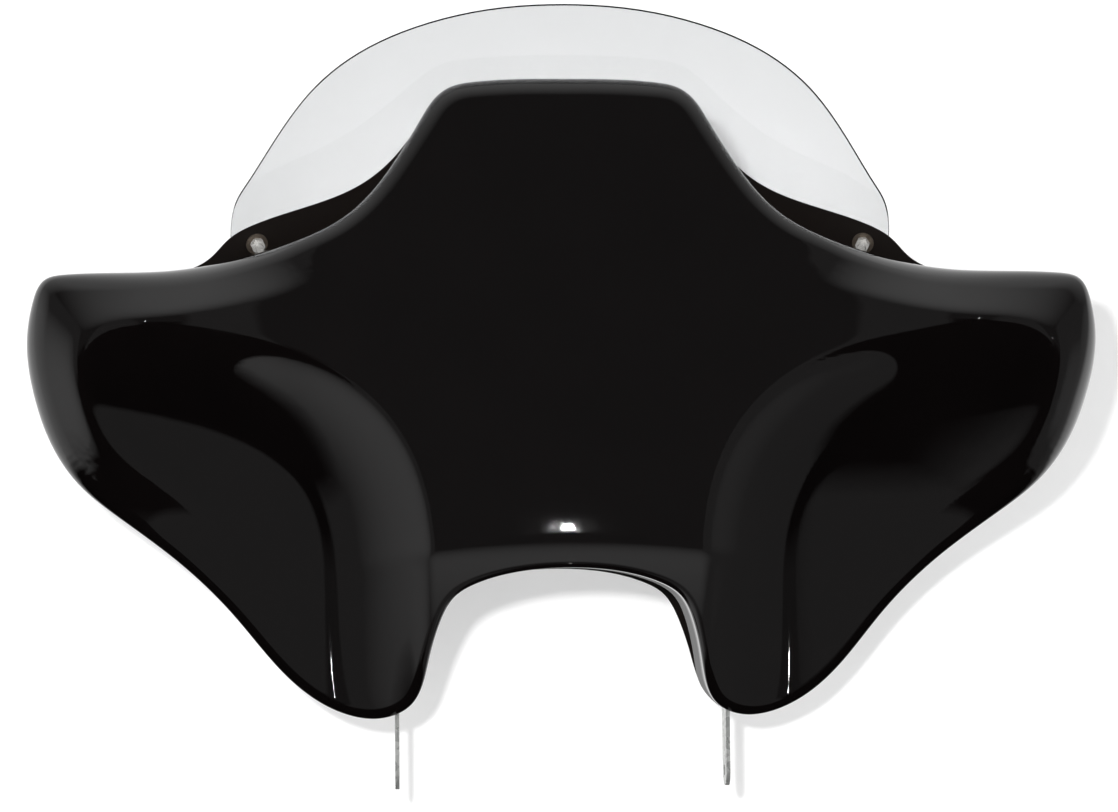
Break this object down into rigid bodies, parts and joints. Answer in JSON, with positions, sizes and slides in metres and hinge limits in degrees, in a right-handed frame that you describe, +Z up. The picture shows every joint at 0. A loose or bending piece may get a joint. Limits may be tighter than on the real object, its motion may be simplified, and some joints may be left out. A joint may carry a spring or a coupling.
{
  "type": "motorcycle fairing",
  "caption": "Batwing-type detachable motorcycle fairing: gloss black two-skin shell with hand pockets, fork cut-out, raked clear windshield and bolted mounting brackets.",
  "frame": {"origin": "on the line through the two bracket holes, midway between them", "axes": "+X to the rider's right along the line of the holes, +Y forward, +Z up"},
  "size_m": [0.81, 0.2459, 0.6025],
  "materials": {
    "black_gelcoat": "polished black gel coat on fibreglass",
    "clear_sheet": "clear acrylic sheet with polished edges",
    "zinc_plate": "zinc-plated steel plate",
    "bright_steel": "bright plated steel",
    "brown_washer": "dull brown plated washer",
    "soft_black": "soft black washer"
  },
  "bodies": {
    "root": {"inner_panel": "black_gelcoat", "outer_shell": "black_gelcoat", "windshield": "clear_sheet", "left_bracket": "zinc_plate", "right_bracket": "zinc_plate", "windshield_screws": "bright_steel", "windshield_nuts": "bright_steel", "windshield_washers": "brown_washer", "windshield_soft_washers": "soft_black", "bracket_bolts": "bright_steel", "bracket_nuts": "bright_steel", "bracket_washers": "bright_steel"}
  },
  "joints": []
}
